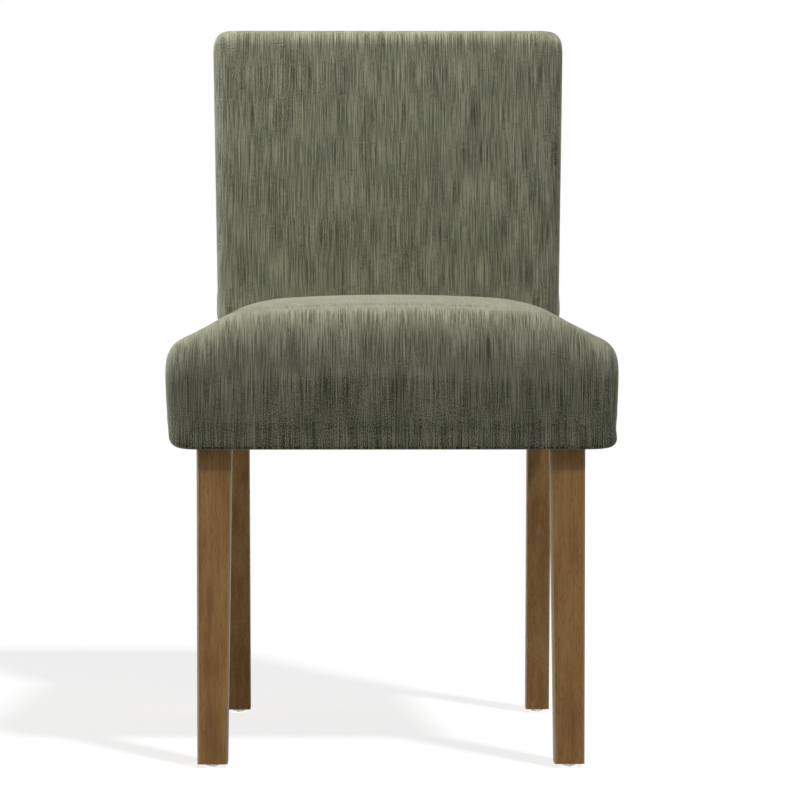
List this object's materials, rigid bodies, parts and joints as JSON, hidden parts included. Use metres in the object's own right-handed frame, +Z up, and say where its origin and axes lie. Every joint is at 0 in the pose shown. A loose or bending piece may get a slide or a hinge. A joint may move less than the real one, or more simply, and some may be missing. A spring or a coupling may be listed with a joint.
{
  "type": "parsons chair",
  "caption": "Upholstered dining chair with a boxed, crowned seat, a leaning slab back and square tapered wooden legs on nail-on glides.",
  "frame": {"origin": "on the floor, at the middle of the chair's footprint box", "axes": "+Z up; the chair faces -Y, so +Y points to its rear; +X is to the right as seen from the front"},
  "size_m": [0.4896, 0.5498, 0.82],
  "materials": {
    "leg_wood": "brown stain under satin lacquer",
    "frame_wood": "planed, unfinished hardwood",
    "dowel_wood": "fluted beech",
    "fibreboard": "hardboard",
    "cover_fabric": "linen-look slub weave",
    "foam": "cut polyurethane foam",
    "wadding": "polyester wadding",
    "webbing": "elastic webbing",
    "underside_cloth": "black nonwoven",
    "screw_steel": "zinc plated",
    "glide_metal": "nickel plated"
  },
  "bodies": {
    "root": {"back_board": "fibreboard", "back_cover": "cover_fabric", "back_foam": "foam", "back_frame_dowels": "dowel_wood", "back_strap_1": "webbing", "back_strap_2": "webbing", "back_strap_3": "webbing", "back_strap_4": "webbing", "back_wadding": "wadding", "corner_block_screws": "screw_steel", "crest_rail": "frame_wood", "cross_strap_1": "webbing", "cross_strap_2": "webbing", "cross_strap_3": "webbing", "cross_strap_4": "webbing", "dust_cover": "underside_cloth", "front_edge_foam": "foam", "front_left_corner_block": "frame_wood", "front_left_glide": "glide_metal", "front_left_leg": "leg_wood", "front_rail": "frame_wood", "front_right_corner_block": "frame_wood", "front_right_glide": "glide_metal", "front_right_leg": "leg_wood", "left_edge_foam": "foam", "left_side_rail": "frame_wood", "long_strap_1": "webbing", "long_strap_2": "webbing", "long_strap_3": "webbing", "long_strap_4": "webbing", "lower_back_rail": "frame_wood", "rear_left_corner_block": "frame_wood", "rear_left_glide": "glide_metal", "rear_left_post": "leg_wood", "rear_rail": "frame_wood", "rear_right_corner_block": "frame_wood", "rear_right_glide": "glide_metal", "rear_right_post": "leg_wood", "right_edge_foam": "foam", "right_side_rail": "frame_wood", "seat_cover": "cover_fabric", "seat_foam": "foam", "seat_frame_dowels": "dowel_wood", "seat_wadding": "wadding"}
  },
  "joints": []
}
